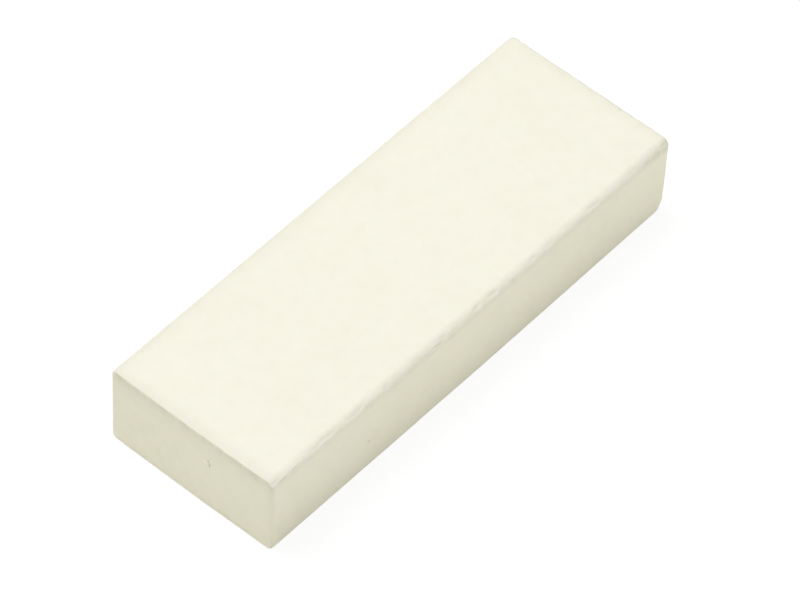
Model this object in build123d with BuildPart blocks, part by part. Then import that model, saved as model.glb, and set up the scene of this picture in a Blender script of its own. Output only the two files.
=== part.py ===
# Block eraser: one solid bar of soft white vinyl, for rubbing out pencil.
# The bar has rounded long edges and is cut to length with a knife. Its near end is still
# crisp from the cut, its far end is softened by rubbing, and its front side swells a little.
# It lies on its bottom face, centred on the origin, with its length along X.
import os

from build123d import *

# Driving dimensions, in millimetres
eraser_length = 62.0
eraser_width = 22.0
eraser_height = 10.7
front_side_swell = 0.1
front_top_edge_radius = 1.1
long_edge_radius = 0.85
near_end_edge_radius = 0.2
far_end_edge_radius = 0.6

# Where the ends and sides stand
near_end_x = -eraser_length / 2
far_end_x = eraser_length / 2
back_side_y = eraser_width / 2
front_side_middle_y = -eraser_width / 2
front_side_corner_y = front_side_middle_y + front_side_swell

with BuildPart() as eraser_block:
    # Seen from above, the front side swells towards its middle and leaves both ends square,
    # and the other three sides are straight
    with BuildSketch() as outline_from_above:
        with BuildLine():
            front_side = Spline(
                (near_end_x, front_side_corner_y),
                (0, front_side_middle_y),
                (far_end_x, front_side_corner_y),
                tangents=[(1, 0), (1, 0)],
            )
            Polyline(
                front_side @ 1,
                (far_end_x, back_side_y),
                (near_end_x, back_side_y),
                front_side @ 0,
            )
        make_face()
    extrude(amount=eraser_height)

    # The four long edges are rounded from end to end, and the front upper one is the softest
    front_top_edge = eraser_block.faces().sort_by(Axis.Z)[-1].edges().sort_by(Axis.Y)[0]
    fillet(front_top_edge, radius=front_top_edge_radius)
    back_top_edge = eraser_block.faces().sort_by(Axis.Z)[-1].edges().sort_by(Axis.Y)[-1]
    bottom_long_edges = eraser_block.faces().sort_by(Axis.Z)[0].edges().filter_by(Axis.Y, reverse=True)
    fillet(bottom_long_edges + [back_top_edge], radius=long_edge_radius)

    # The edges around each cut end are eased
    near_end = eraser_block.faces().sort_by(Axis.X)[0]
    fillet(near_end.edges(), radius=near_end_edge_radius)
    far_end = eraser_block.faces().sort_by(Axis.X)[-1]
    fillet(far_end.edges(), radius=far_end_edge_radius)

eraser_block.part.label = "eraser_block"

os.makedirs("parts", exist_ok=True)
export_step(eraser_block.part, "parts/eraser_block.step")
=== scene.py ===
import math

import bmesh
import bpy
from mathutils import Matrix, Vector, noise


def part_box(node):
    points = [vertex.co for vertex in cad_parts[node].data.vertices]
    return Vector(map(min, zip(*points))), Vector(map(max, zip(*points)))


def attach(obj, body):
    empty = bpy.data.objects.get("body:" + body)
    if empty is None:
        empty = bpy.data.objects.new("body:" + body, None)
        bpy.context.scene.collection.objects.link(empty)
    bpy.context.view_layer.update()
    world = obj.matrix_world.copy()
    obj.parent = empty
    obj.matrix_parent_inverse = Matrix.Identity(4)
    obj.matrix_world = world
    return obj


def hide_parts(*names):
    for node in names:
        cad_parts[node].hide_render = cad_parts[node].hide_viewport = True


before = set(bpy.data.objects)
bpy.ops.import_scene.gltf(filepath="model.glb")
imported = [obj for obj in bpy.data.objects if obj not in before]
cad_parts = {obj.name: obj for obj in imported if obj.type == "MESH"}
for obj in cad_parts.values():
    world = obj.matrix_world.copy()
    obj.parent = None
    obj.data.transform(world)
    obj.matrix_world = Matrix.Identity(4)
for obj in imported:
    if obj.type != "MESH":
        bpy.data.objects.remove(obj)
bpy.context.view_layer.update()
mm = 0.001

# The block: one solid bar of soft vinyl, rounded along its four long edges and sliced to
# length with a knife. The near end is still crisp from the cut. The far end and its corners
# are rubbed soft, and the front upper edge is pressed uneven, with a fine broken crease.
low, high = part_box("eraser_block")
length, width, height = high - low

front_top_radius = 1.12 * mm
back_top_radius = 0.75 * mm
bottom_edge_radius = 0.7 * mm
near_end_edge_radius = 0.18 * mm
far_end_edge_radius = 0.6 * mm
near_front_corner_radius = 0.59 * mm
near_back_corner_radius = 0.3 * mm
far_corner_top_radius = 0.75 * mm
far_corner_bottom_radius = 1.05 * mm
worn_corner_extra = 0.95 * mm
worn_corner_reach = 1.8 * mm
front_side_swell = 0.1 * mm
near_end_bulge = 0.09 * mm
near_end_bulge_reach = 3 * mm
near_top_dish = 0.04 * mm
near_top_dish_reach = 9 * mm

# How many flats make up each round, and the step of the net that the faces are cut into
front_top_flats = 40
long_edge_flats = 10
near_end_flats = 5
far_end_flats = 8
net_step = 0.28 * mm


def bevel_edges(bm, edges, radius, segments):
    """Rounds these edges to a radius, with as many flats as segments."""
    bmesh.ops.bevel(
        bm,
        geom=edges,
        offset=radius,
        offset_type="OFFSET",
        affect="EDGES",
        segments=segments,
        profile=0.5,
        material=-1,
        clamp_overlap=True,
    )


def edges_along_length(bm):
    """The edges that run along the block, from end to end."""
    return [e for e in bm.edges if abs((e.verts[0].co - e.verts[1].co).normalized().x) > 0.999]


def slice_across(bm, axis, places):
    """Cuts every face through at these places along an axis, and keeps both sides."""
    normal = Vector([float(axis == i) for i in range(3)])
    for place in places:
        everything = bm.verts[:] + bm.edges[:] + bm.faces[:]
        bmesh.ops.bisect_plane(
            bm, geom=everything, dist=1e-8, plane_co=normal * place, plane_no=normal
        )


def spaced(start, end, step):
    """Evenly spaced places between two limits, both left out."""
    count = max(2, round((end - start) / step))
    return [start + (end - start) * i / count for i in range(1, count)]


bm = bmesh.new()
bmesh.ops.create_cube(bm, size=1.0)
bmesh.ops.scale(bm, vec=(length, width, height), verts=bm.verts)
bmesh.ops.translate(bm, vec=(low + high) / 2, verts=bm.verts)
for edge in edges_along_length(bm):
    edge_y, edge_z = (edge.verts[0].co + edge.verts[1].co).yz / 2
    if edge_z < height / 2:
        bevel_edges(bm, [edge], bottom_edge_radius, long_edge_flats)
    elif edge_y > 0:
        bevel_edges(bm, [edge], back_top_radius, long_edge_flats)
    else:
        bevel_edges(bm, [edge], front_top_radius, front_top_flats)
near_face = min(bm.faces, key=lambda face: face.calc_center_median().x)
bevel_edges(bm, list(near_face.edges), near_end_edge_radius, near_end_flats)
far_face = max(bm.faces, key=lambda face: face.calc_center_median().x)
bevel_edges(bm, list(far_face.edges), far_end_edge_radius, far_end_flats)

# The flats are cut into a fine net, so that wear can be worked into the surface
slice_across(bm, 1, spaced(low.y + front_top_radius, high.y - bottom_edge_radius, net_step))
slice_across(bm, 2, spaced(low.z + bottom_edge_radius, high.z - front_top_radius, net_step))
bmesh.ops.subdivide_edges(
    bm,
    edges=[e for e in edges_along_length(bm) if e.calc_length() > length / 2],
    cuts=round(length / net_step),
    use_grid_fill=True,
)


def lumps(place, size, seed):
    """A smooth random value from -1 to 1 that changes over about this size."""
    return noise.noise(place / size + Vector((seed, 2 * seed, 3 * seed)))


def smooth_step(value):
    """Rises smoothly from 0 to 1 as the value does."""
    value = min(1.0, max(0.0, value))
    return value * value * (3 - 2 * value)


def pulled_onto_round(a, b, radius):
    """Pulls a point, given by its depths behind two faces, in to the round where they meet."""
    if a >= radius or b >= radius:
        return a, b
    reach = math.hypot(radius - a, radius - b)
    if reach <= radius:
        return a, b
    return radius - (radius - a) * radius / reach, radius - (radius - b) * radius / reach


def worn_rounder(radius, from_corner):
    """The radius of a round that grows towards the worn corner."""
    return radius + worn_corner_extra * (1 - smooth_step(from_corner / worn_corner_reach))


# The form of the whole block: rubbed upright corners, the swollen front side, the near end
# bulged a little by the knife and the top dished a little beside it
for vertex in bm.verts:
    x, y, z = vertex.co
    behind_near, behind_far = x - low.x, high.x - x
    behind_front, behind_back = y - low.y, high.y - y
    behind_near, behind_front = pulled_onto_round(
        behind_near, behind_front, near_front_corner_radius
    )
    behind_near, behind_back = pulled_onto_round(
        behind_near, behind_back, near_back_corner_radius
    )
    corner_change = (far_corner_top_radius - far_corner_bottom_radius) * z / height
    far_corner_radius = far_corner_bottom_radius + corner_change
    behind_far, behind_front = pulled_onto_round(behind_far, behind_front, far_corner_radius)
    behind_far, behind_back = pulled_onto_round(behind_far, behind_back, far_corner_radius)

    # The lower far corner at the front is worn rounder than the edges that meet there
    long_edge_radius = worn_rounder(bottom_edge_radius, behind_far)
    behind_front, above = pulled_onto_round(behind_front, z, long_edge_radius)
    end_edge_radius = worn_rounder(far_end_edge_radius, behind_front)
    behind_far, z = pulled_onto_round(behind_far, above, end_edge_radius)
    upright_radius = worn_rounder(far_corner_radius, z)
    behind_far, behind_front = pulled_onto_round(behind_far, behind_front, upright_radius)

    x = low.x + behind_near if x < 0 else high.x - behind_far
    y = low.y + behind_front if y < 0 else high.y - behind_back
    across = 2 * y / width
    x += near_end_bulge * across * across * (1 - smooth_step(behind_near / near_end_bulge_reach))
    beside_end = 1 - smooth_step(behind_near / near_top_dish_reach)
    z -= near_top_dish * (1 - across * across) * beside_end * smooth_step(2 * z / height - 1)
    y += front_side_swell * smooth_step(abs(2 * x / length)) * (high.y - y) / width
    vertex.co = (x, y, z)


def on_top(x, y):
    """A place on the top face, by millimetres along and across."""
    return Vector((x * mm, y * mm, high.z))


def on_front(x, z):
    """A place on the front side, by millimetres along and up."""
    swell = front_side_swell * smooth_step(abs(2 * x * mm / length))
    return Vector((x * mm, low.y + swell, z * mm))


def on_near_end(y, z):
    """A place on the near end, by millimetres across and up."""
    return Vector((low.x + near_end_bulge * (2 * y * mm / width) ** 2, y * mm, z * mm))


def refine_around(bm, place, reach, cuts):
    """Divides the net more finely within reach of a place on the surface."""
    near_edges = [e for e in bm.edges if all((v.co - place).length < reach for v in e.verts)]
    bmesh.ops.subdivide_edges(bm, edges=near_edges, cuts=cuts, use_grid_fill=True)


def bump(distance, radius):
    """1 at no distance, falling smoothly to nothing at about twice the radius."""
    return math.exp(-((distance / radius) ** 2))


# Pits and specks: the place of each, its radius and depth in millimetres, and its dirt
pits = [
    (on_front(-16.36, 4.31), 0.24, 0.03, 0.26),
    (on_front(9.61, 8.45), 0.30, 0.02, 0.08),
    (on_top(-8.0, -4.4), 0.10, 0.02, 0.16),
    (on_top(-27.1, 10.3), 0.12, 0.03, 0.20),
    (on_top(30.50, 1.29), 0.12, 0.03, 0.22),
    (on_top(30.54, -2.23), 0.10, 0.02, 0.18),
    (on_top(30.47, -4.19), 0.14, 0.03, 0.22),
    (on_top(30.58, -5.73), 0.12, 0.03, 0.20),
    (on_front(-30.60, 10.15), 0.15, 0.04, 0.30),
    (on_front(-30.85, 9.75), 0.18, 0.04, 0.22),
    (on_front(30.2, 10.0), 0.50, 0.02, 0.12),
    (on_front(28.9, 10.1), 0.30, 0.02, 0.12),
    (on_near_end(-2.74, 7.69), 0.07, 0.02, 0.35),
    (on_near_end(-3.96, 10.33), 0.13, 0.03, 0.40),
    (on_near_end(-6.59, 10.44), 0.10, 0.02, 0.25),
]
pit_net_reach = 0.7 * mm
for pit_place, *_ in pits:
    refine_around(bm, pit_place, pit_net_reach, 2)


def wear_of_pits(place):
    """The depth and dirt of the pits and specks at a place."""
    depth = 0.0
    shade_and_dirt = 0.0
    for pit_place, radius, pit_depth, pit_dirt in pits:
        from_pit = (place - pit_place).length
        if from_pit < 3 * radius * mm:
            pit = bump(from_pit, radius * mm)
            depth += pit_depth * mm * pit
            shade_and_dirt += pit_dirt * pit
    return depth, shade_and_dirt


# A nick in the near end: a round head, a tail that tapers away, and a torn fleck on each side,
# where a small scoop catches the light on its lower lip
nick_head = on_near_end(-2.33, 7.27)
nick_tail = [on_near_end(-2.44, 6.89), on_near_end(-2.50, 6.42)]
nick_head_radius = 0.125 * mm
nick_tail_radius = 0.085 * mm
nick_tail_narrowing = 0.7
nick_tail_rise = 0.5
nick_tail_depth_share = 0.9
nick_depth = 0.10 * mm
nick_dirt = 0.85
nick_flecks = [on_near_end(-2.57, 7.52), on_near_end(-1.82, 6.86)]
fleck_radius = 0.13 * mm
fleck_depth = 0.05 * mm
fleck_paleness = 2.2
scoop_rise = Vector((0, 0, 0.1 * mm))
nick_reach = 1.6 * mm
nick_net_reach = 1.0 * mm
refine_around(bm, nick_tail[0], nick_net_reach, 4)


def nick_at(place):
    """How deep the nick is at a place on the near end: full in its head, tapering down its tail."""
    tail = nick_tail[1] - nick_tail[0]
    share = min(1.0, max(0.0, (place - nick_tail[0]).dot(tail) / tail.length_squared))
    from_tail = (place - nick_tail[0] - tail * share).length
    tail_radius = nick_tail_radius * (1 - nick_tail_narrowing * share)
    in_tail = bump(from_tail, tail_radius) * (1 - nick_tail_rise * share)
    in_head = bump((place - nick_head).length, nick_head_radius)
    return max(in_head, nick_tail_depth_share * in_tail)


def wear_of_nick(place):
    """The depth and dirt of the nick, with its flecks, whose dirt is below nothing: torn pale."""
    if (place - nick_head).length >= nick_reach:
        return 0.0, 0.0
    nick = nick_at(place)
    depth = nick_depth * nick
    shade_and_dirt = nick_dirt * nick
    for fleck in nick_flecks:
        depth += fleck_depth * bump((place - fleck - scoop_rise).length, fleck_radius)
        shade_and_dirt -= fleck_paleness * bump((place - fleck).length, fleck_radius)
    return depth, shade_and_dirt


# A crease follows the front upper edge in broken runs. Each has its start and end along the
# block and its height above the wandering line at both, in millimetres, and its strength
crease_runs = [
    (-30.9, -29.0, 0.02, 0.00, 0.70),
    (-29.1, -27.3, -0.02, 0.02, 0.55),
    (-26.4, -22.9, 0.00, 0.03, 0.15),
    (-22.6, -20.9, 0.02, 0.00, 0.25),
    (-18.9, -17.6, 0.03, 0.02, 0.30),
    (-17.0, -15.0, -0.02, 0.00, 0.45),
    (-12.6, -11.9, 0.00, -0.01, 0.55),
    (-9.7, -8.4, -0.03, -0.04, 0.40),
    (-6.6, -4.9, -0.06, -0.02, 0.75),
    (-5.0, -2.8, 0.05, 0.08, 0.60),
    (1.4, 3.3, 0.00, -0.01, 0.20),
    (3.9, 5.9, 0.00, -0.03, 0.40),
    (8.7, 9.1, 0.00, 0.00, 0.50),
    (12.6, 14.3, 0.02, 0.00, 0.15),
    (16.5, 17.3, -0.02, -0.03, 0.30),
    (18.5, 21.3, 0.02, -0.01, 0.20),
    (25.5, 28.1, -0.04, -0.08, 0.25),
]
crease_half_width = 0.06 * mm
crease_depth = 0.035 * mm
crease_wander = 0.22 * mm
crease_wander_length = 1.9 * mm
run_fade_share = 0.2

# The line that the crease wanders about lies this far round the edge, from the top
crease_turn = math.radians(54)
crease_behind_front = front_top_radius * (1 - math.sin(crease_turn))
crease_below_top = front_top_radius * (1 - math.cos(crease_turn))


def above_crease(place):
    """Distance round the front upper edge from the wandering line of the crease, upwards."""
    upwards = place.z - (high.z - crease_below_top)
    backwards = place.y - (low.y + crease_behind_front)
    straight = math.copysign(math.hypot(upwards, backwards), upwards)
    return straight - crease_wander * lumps(Vector((place.x, 0, 0)), crease_wander_length, 13)


def crease_at(x, height_above):
    """How strongly the crease shows at a place along the block and height above its line."""
    strongest = 0.0
    for start, end, start_height, end_height, strength in crease_runs:
        share = (x / mm - start) / (end - start)
        if -run_fade_share < share < 1 + run_fade_share:
            fade_in = smooth_step(share / run_fade_share + 0.5)
            fade_out = smooth_step((1 - share) / run_fade_share + 0.5)
            from_run = height_above - (start_height + (end_height - start_height) * share) * mm
            crease = strength * fade_in * fade_out * bump(from_run, crease_half_width)
            strongest = max(strongest, crease)
    return strongest


# The front upper edge is pressed into lumps and bitten above its crease, and the vinyl just
# over the crease stands up in a lip, most of all towards the near end
pressed_wave = 0.05 * mm
bite_depth = 0.25 * mm
bite_half_width = 0.28 * mm
bite_above_crease = 0.25 * mm
lip_height = 0.05 * mm
lip_half_width = 0.2 * mm
lip_above_crease = 0.12 * mm
crisp_lip_reach = 6 * mm
crease_painted_shade = 0.36
smear_dirt = 0.13
smear_half_width = 0.14 * mm
smear_below_crease = 0.08 * mm
spot_dirt = 0.16
far_stretch_dirt = 0.08
far_stretch_start = 24 * mm
far_stretch_fade = 5 * mm


def wear_of_front_edge(place, normal):
    """The depth and darkening of the front upper edge: lumps, bites, lip, the crease with its
    painted shade, and smears and spots of dirt.
    """
    on_edge = max(0.0, -normal.y) * max(0.0, normal.z) * 2
    if on_edge <= 0.01:
        return 0.0, 0.0
    along = Vector((place.x, 0.5 * place.y, 0.5 * place.z))
    height_above = above_crease(place)

    presses = 1 + 0.8 * lumps(along, 2.1 * mm, 3) + 0.8 * lumps(along, 0.8 * mm, 4)
    bites = max(0.0, lumps(along, 1.1 * mm, 17) - 0.05)
    crispness = 1 - smooth_step((place.x - low.x) / crisp_lip_reach)
    crispness += max(0.0, 0.7 * lumps(along, 1.7 * mm, 15))
    unbroken = max(0.0, 0.65 + 0.9 * lumps(along, 0.45 * mm, 5))
    crease = crease_at(place.x, height_above) * unbroken
    depth = pressed_wave * on_edge * presses
    depth += bite_depth * bites * bump(height_above - bite_above_crease, bite_half_width)
    depth -= lip_height * crispness * bump(height_above - lip_above_crease, lip_half_width)
    depth += crease_depth * crease

    smears = max(0.0, lumps(along, 0.9 * mm, 16))
    smears *= bump(height_above + smear_below_crease, smear_half_width)
    spots = on_edge * max(0.0, lumps(place, 0.4 * mm, 6) - 0.15)
    far_stretch = on_edge * smooth_step((place.x - far_stretch_start) / far_stretch_fade)
    # The crease's grey is painted shade; the smears, spots and far stretch are dirt
    shade_and_dirt = crease_painted_shade * crease + smear_dirt * smears + spot_dirt * spots
    shade_and_dirt += far_stretch_dirt * far_stretch
    return depth, shade_and_dirt


# The near end's cut edges are slightly ragged. Just below the upper one lie a thin darker line
# and a band of painted shade that darkens the face towards that edge
ragged_wave = 0.03 * mm
cut_line_darkening = 0.20
cut_line_below = 0.12 * mm
cut_line_half_width = 0.12 * mm
near_end_painted_shade = 0.08
near_end_painted_shade_reach = 3.5 * mm


def wear_of_near_end(place, normal):
    """The depth of the near end, with its thin darker line and painted shade below the upper edge.
    """
    on_edge = max(0.0, -normal.x) * math.hypot(normal.y, normal.z) * 2
    raggedness = 0.8 + lumps(place, 0.9 * mm, 7) + 0.7 * lumps(place, 0.4 * mm, 8)
    shade_and_dirt = 0.0
    if normal.x < -0.6 and place.z > height / 2:
        below_edge = high.z - place.z
        cut_line = bump(below_edge - cut_line_below, cut_line_half_width)
        shade_and_dirt += cut_line_darkening * cut_line * (1 + lumps(place, 0.8 * mm, 9))
        # Painted shade: the near end darker towards its upper edge
        shade_and_dirt += near_end_painted_shade * (1 - smooth_step(below_edge / near_end_painted_shade_reach))
    return ragged_wave * on_edge * raggedness, shade_and_dirt


# The far end's edges are rubbed soft and uneven
rubbed_wave = 0.06 * mm


def wear_of_far_end(place, normal):
    """The depth of the far end's rubbed edges."""
    on_edge = max(0.0, normal.x) * math.hypot(normal.y, normal.z) * 2
    unevenness = 0.8 + lumps(place, 2.4 * mm, 10) + 0.4 * lumps(place, 0.8 * mm, 11)
    return rubbed_wave * on_edge * unevenness


# The top has painted shade beside its near, back and far edges, and a broken darker line runs
# along the far one
top_edge_shade = 0.08
top_edge_shade_reach = 2.2 * mm
far_line_darkening = 0.28
far_line_inset = 0.3 * mm
far_line_half_width = 0.13 * mm


def shade_of_top(place, normal):
    """The painted shade and the darker far line of the top."""
    top_darkening = 0.0
    if normal.z > 0.7:
        to_edge = min(place.x - low.x, high.y - place.y, high.x - place.x)
        blotches = 1 + 0.5 * lumps(place, 1.5 * mm, 12)
        # Painted shade: the top darker towards its near, back and far edges
        top_darkening += top_edge_shade * (1 - smooth_step(to_edge / top_edge_shade_reach)) * blotches
    if normal.z > 0.3 and place.x > 0:
        far_line = bump(high.x - place.x - far_line_inset, far_line_half_width)
        top_darkening += far_line_darkening * far_line * max(0.0, 0.2 + lumps(place, 0.8 * mm, 18))
    return top_darkening


# The front side has painted shade towards its foot, most on its bottom rim, less so at the far end
foot_painted_shade = 0.085
foot_painted_shade_reach = 8 * mm
rim_painted_shade = 0.08
rim_painted_shade_reach = 0.9 * mm
less_shade_share = 0.6
less_shade_start = 14 * mm
less_shade_fade = 12 * mm


def shade_of_front_side(place, normal):
    """The painted shade of the front side."""
    if normal.y >= -0.6:
        return 0.0
    foot = 1 - smooth_step(place.z / foot_painted_shade_reach)
    rim = 1 - smooth_step(place.z / rim_painted_shade_reach)
    less_shade = less_shade_share * smooth_step((place.x - less_shade_start) / less_shade_fade)
    # Painted shade: darker towards the foot and the bottom rim
    return (foot_painted_shade * foot + rim_painted_shade * rim) * (1 - less_shade)


# The wear is worked inwards from the skin, which waves a little all over. The mesh keeps the
# dirt and painted shade of each point: 1 is darkest, 0 is clean and unshaded, -1 is freshly torn
skin_wave = 0.018 * mm
shade_and_dirt_layer = bm.verts.layers.float.new("shade_and_dirt")
bm.normal_update()
for vertex in bm.verts:
    place = vertex.co.copy()
    normal = vertex.normal.copy()
    depth = skin_wave * (1 + lumps(place, 7 * mm, 1) + 0.35 * lumps(place, 2.2 * mm, 2))
    depth += wear_of_far_end(place, normal)
    # The painted shade of the top's edges and of the front side's foot starts each point's
    # darkening
    shade_and_dirt = shade_of_top(place, normal) + shade_of_front_side(place, normal)
    for wear_depth, wear_shade_and_dirt in (
        wear_of_front_edge(place, normal),
        wear_of_near_end(place, normal),
        wear_of_pits(place),
        wear_of_nick(place),
    ):
        depth += wear_depth
        shade_and_dirt += wear_shade_and_dirt
    vertex[shade_and_dirt_layer] = min(1.0, max(-1.0, shade_and_dirt))
    place -= normal * depth
    for i in range(3):
        place[i] = min(max(place[i], low[i]), high[i])
    vertex.co = place

block_mesh = bpy.data.meshes.new("eraser_block_vinyl")
bm.to_mesh(block_mesh)
bm.free()
for face in block_mesh.polygons:
    face.use_smooth = True
block = bpy.data.objects.new("eraser_block_vinyl", block_mesh)
bpy.context.scene.collection.objects.link(block)

# Off-white vinyl: a faint mottle under a waxy satin skin, fine grain, knife lines on the two
# cut ends, a few specks, and a grey that is dirt where the wear holds it and painted shade along
# the crease, beside the top's edges, at the near end's top and towards the front side's foot
pale_vinyl = (0.913, 0.892, 0.770, 1)
warm_vinyl = (0.885, 0.862, 0.735, 1)
speck_grey = (0.50, 0.47, 0.36, 1)
dirt_and_shade_grey = (0.34, 0.32, 0.19, 1)
torn_white = (0.99, 0.97, 0.86, 1)
cloud_size = 7 * mm
mottle_size = 1.3 * mm
speck_spacing = 2.6 * mm
satin_roughness = 0.56
dull_roughness = 0.66
sheen_patch_size = 3 * mm
rubbed_roughness = 0.08
rubbed_reach = 8 * mm
knife_line_size = 0.35 * mm
grain_size = 0.9 * mm
fine_grain_size = 0.16 * mm
grain_height = 0.012 * mm

vinyl = bpy.data.materials.new("off_white_vinyl")
vinyl.use_nodes = True
nodes, links = vinyl.node_tree.nodes, vinyl.node_tree.links
shader = nodes["Principled BSDF"]
place_on_block = nodes.new("ShaderNodeTexCoord").outputs["Object"]


def stretched(scale):
    """The place on the block, stretched along each axis."""
    mapping = nodes.new("ShaderNodeMapping")
    mapping.inputs["Scale"].default_value = scale
    links.new(place_on_block, mapping.inputs["Vector"])
    return mapping.outputs["Vector"]


def soft_noise(size, detail, vector=place_on_block):
    """Cloudy noise from 0 to 1 whose patches are about this size."""
    cloud = nodes.new("ShaderNodeTexNoise")
    cloud.inputs["Scale"].default_value = 1 / size
    cloud.inputs["Detail"].default_value = detail
    links.new(vector, cloud.inputs["Vector"])
    return cloud.outputs["Fac"]


def ranged(value, from_low, from_high, to_low, to_high):
    """The value moved from one range to another, and held inside it."""
    fit = nodes.new("ShaderNodeMapRange")
    fit.inputs["From Min"].default_value = from_low
    fit.inputs["From Max"].default_value = from_high
    fit.inputs["To Min"].default_value = to_low
    fit.inputs["To Max"].default_value = to_high
    links.new(value, fit.inputs["Value"])
    return fit.outputs["Result"]


def maths(operation, first, second):
    """Two values, or a value and a number, put together."""
    node = nodes.new("ShaderNodeMath")
    node.operation = operation
    for socket, term in zip(node.inputs, (first, second)):
        if isinstance(term, (int, float)):
            socket.default_value = term
        else:
            links.new(term, socket)
    return node.outputs["Value"]


def blended(share, first, second):
    """A colour between two others, which are colours or sockets."""
    mix = nodes.new("ShaderNodeMix")
    mix.data_type = "RGBA"
    links.new(share, mix.inputs["Factor"])
    first_colour, second_colour, mixed_colour = mix.inputs[6], mix.inputs[7], mix.outputs[2]
    for socket, colour in ((first_colour, first), (second_colour, second)):
        if isinstance(colour, tuple):
            socket.default_value = colour
        else:
            links.new(colour, socket)
    return mixed_colour


clouds = maths("ADD", soft_noise(cloud_size, 3), soft_noise(mottle_size, 2))
colour = blended(ranged(clouds, 0.7, 1.3, 0, 1), pale_vinyl, warm_vinyl)

speck_cells = nodes.new("ShaderNodeTexVoronoi")
speck_cells.inputs["Scale"].default_value = 1 / speck_spacing
links.new(place_on_block, speck_cells.inputs["Vector"])
speck_pick = nodes.new("ShaderNodeSeparateColor")
links.new(speck_cells.outputs["Color"], speck_pick.inputs["Color"])
speck_core = ranged(speck_cells.outputs["Distance"], 0.02, 0.045, 1, 0)
speck_chosen = ranged(speck_pick.outputs["Red"], 0.72, 0.95, 0, 0.35)
colour = blended(maths("MULTIPLY", speck_core, speck_chosen), colour, speck_grey)

shade_and_dirt_held = nodes.new("ShaderNodeAttribute")
shade_and_dirt_held.attribute_name = "shade_and_dirt"
# Dirt, and painted shade in the crease, beside the top's edges, at the near end's top and at the
# front side's foot, pull the colour towards grey; torn flecks turn paler
colour = blended(ranged(shade_and_dirt_held.outputs["Fac"], 0, 1, 0, 1), colour, dirt_and_shade_grey)
colour = blended(ranged(shade_and_dirt_held.outputs["Fac"], 0, -1, 0, 1), colour, torn_white)
links.new(colour, shader.inputs["Base Color"])

position = nodes.new("ShaderNodeSeparateXYZ")
links.new(place_on_block, position.inputs["Vector"])
rubbed_dull = ranged(position.outputs["X"], high.x - rubbed_reach, high.x, 0, rubbed_roughness)
sheen_cloud = soft_noise(sheen_patch_size, 3)
sheen_patches = ranged(sheen_cloud, 0.35, 0.65, satin_roughness, dull_roughness)
links.new(maths("ADD", sheen_patches, rubbed_dull), shader.inputs["Roughness"])

from_middle = maths("ABSOLUTE", position.outputs["X"], 0)
cut_end = ranged(from_middle, length / 2 - 0.3 * mm, length / 2 - 0.1 * mm, 0, 1)
knife_lines = maths("MULTIPLY", soft_noise(knife_line_size, 2, stretched((1, 0.08, 1))), cut_end)
fine_grain = maths("MULTIPLY", soft_noise(fine_grain_size, 2), 0.25)
grain = maths("ADD", soft_noise(grain_size, 3), fine_grain)
relief = nodes.new("ShaderNodeBump")
relief.inputs["Distance"].default_value = grain_height
links.new(maths("ADD", grain, knife_lines), relief.inputs["Height"])
links.new(relief.outputs["Normal"], shader.inputs["Normal"])

shader.inputs["Specular IOR Level"].default_value = 0.33
shader.inputs["Subsurface Weight"].default_value = 0.15
shader.inputs["Subsurface Radius"].default_value = (1.0, 0.9, 0.6)
shader.inputs["Subsurface Scale"].default_value = 0.4 * mm
block_mesh.materials.append(vinyl)

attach(block, "root")
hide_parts("eraser_block")

# The ground: a wide sheet of matt white card. The camera sees it bleached to white, and it
# keeps the block's soft shadow.
card_radius = 4.0
card_cream = (0.87, 0.86, 0.75, 1)
card_shadow_grey = (0.16, 0.16, 0.16, 1)
card_bleach = 0.88
plain_white = (1, 1, 1, 1)

card_mesh = bpy.data.meshes.new("white_card")
bm = bmesh.new()
bmesh.ops.create_circle(bm, cap_ends=True, segments=64, radius=card_radius)
bm.to_mesh(card_mesh)
bm.free()
card = bpy.data.objects.new("white_card", card_mesh)
bpy.context.scene.collection.objects.link(card)

card_material = bpy.data.materials.new("matt_white_card")
card_material.use_nodes = True
nodes, links = card_material.node_tree.nodes, card_material.node_tree.links
nodes.clear()
card_out = nodes.new("ShaderNodeOutputMaterial")
card_diffuse = nodes.new("ShaderNodeBsdfDiffuse")
card_diffuse.inputs["Color"].default_value = card_cream
card_glow = nodes.new("ShaderNodeEmission")
card_glow.inputs["Color"].default_value = plain_white
card_glow.inputs["Strength"].default_value = card_bleach
card_seen = nodes.new("ShaderNodeBsdfDiffuse")
card_seen.inputs["Color"].default_value = card_shadow_grey
card_sum = nodes.new("ShaderNodeAddShader")
card_mix = nodes.new("ShaderNodeMixShader")
card_path = nodes.new("ShaderNodeLightPath")
links.new(card_seen.outputs[0], card_sum.inputs[0])
links.new(card_glow.outputs[0], card_sum.inputs[1])
links.new(card_path.outputs["Is Camera Ray"], card_mix.inputs[0])
links.new(card_diffuse.outputs[0], card_mix.inputs[1])
links.new(card_sum.outputs[0], card_mix.inputs[2])
links.new(card_mix.outputs[0], card_out.inputs["Surface"])
card_mesh.materials.append(card_material)

# The light: an even pale room, a large soft lamp high above the back of the block, and three
# weaker ones that fill the far end, the near end and the front side
room_brightness = 0.23
lamp_distance = 0.9
key_size = 0.5
fill_size = 0.4

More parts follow.
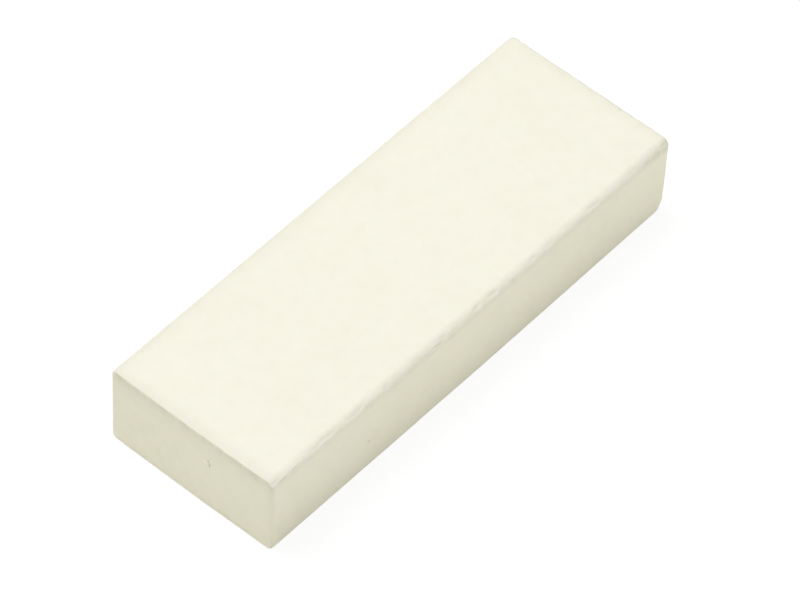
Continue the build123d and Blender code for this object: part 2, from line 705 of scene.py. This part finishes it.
world = bpy.data.worlds.new("pale_room")
bpy.context.scene.world = world
world.use_nodes = True
nodes, links = world.node_tree.nodes, world.node_tree.links
nodes.clear()
room_out = nodes.new("ShaderNodeOutputWorld")
room_light = nodes.new("ShaderNodeBackground")
room_light.inputs["Color"].default_value = plain_white
room_light.inputs["Strength"].default_value = room_brightness
room_white = nodes.new("ShaderNodeBackground")
room_white.inputs["Color"].default_value = plain_white
room_white.inputs["Strength"].default_value = 1.0
room_mix = nodes.new("ShaderNodeMixShader")
room_path = nodes.new("ShaderNodeLightPath")
links.new(room_path.outputs["Is Camera Ray"], room_mix.inputs[0])
links.new(room_light.outputs[0], room_mix.inputs[1])
links.new(room_white.outputs[0], room_mix.inputs[2])
links.new(room_mix.outputs[0], room_out.inputs["Surface"])


def soft_lamp(name, towards, size, power):
    """A square soft lamp that stands in a direction from the block and faces it."""
    lamp_data = bpy.data.lights.new(name, "AREA")
    lamp_data.shape = "SQUARE"
    lamp_data.size = size
    lamp_data.energy = power
    lamp = bpy.data.objects.new(name, lamp_data)
    direction = Vector(towards).normalized()
    facing = direction.to_track_quat("Z", "Y").to_matrix().to_4x4()
    lamp.matrix_world = Matrix.Translation(direction * lamp_distance) @ facing
    lamp.visible_camera = False
    bpy.context.scene.collection.objects.link(lamp)


soft_lamp("key_lamp", (-0.10, 0.39, 0.92), key_size, 5.25)
soft_lamp("far_fill", (0.54, 0.54, 0.64), fill_size, 1.15)
soft_lamp("near_fill", (-0.83, -0.48, 0.28), fill_size, 1.7)
soft_lamp("front_fill", (0.62, -0.67, 0.41), fill_size, 2.15)

# The camera: a long lens that looks down over the near front corner, a little rolled
camera_azimuth = math.radians(-51.105)
camera_elevation = math.radians(50.512)
camera_roll = math.radians(3.019)
camera_distance = 614.445 * mm
camera_aim = Vector((-1.053, -1.575, 5.35)) * mm
back = Vector(
    (
        math.sin(camera_azimuth) * math.cos(camera_elevation),
        -math.cos(camera_azimuth) * math.cos(camera_elevation),
        math.sin(camera_elevation),
    )
)
right = Vector((math.cos(camera_azimuth), math.sin(camera_azimuth), 0))
up = back.cross(right)
level = Matrix((right, up, back)).transposed()
camera_data = bpy.data.cameras.new("camera")
camera_data.lens = 270
camera_data.sensor_width = 36
camera_data.clip_start = 0.01
camera_data.clip_end = 20
camera = bpy.data.objects.new("camera", camera_data)
camera.matrix_world = (
    Matrix.Translation(camera_aim + back * camera_distance)
    @ level.to_4x4()
    @ Matrix.Rotation(camera_roll, 4, "Z")
)
bpy.context.scene.collection.objects.link(camera)
bpy.context.scene.camera = camera
bpy.context.scene.view_settings.view_transform = "Standard"
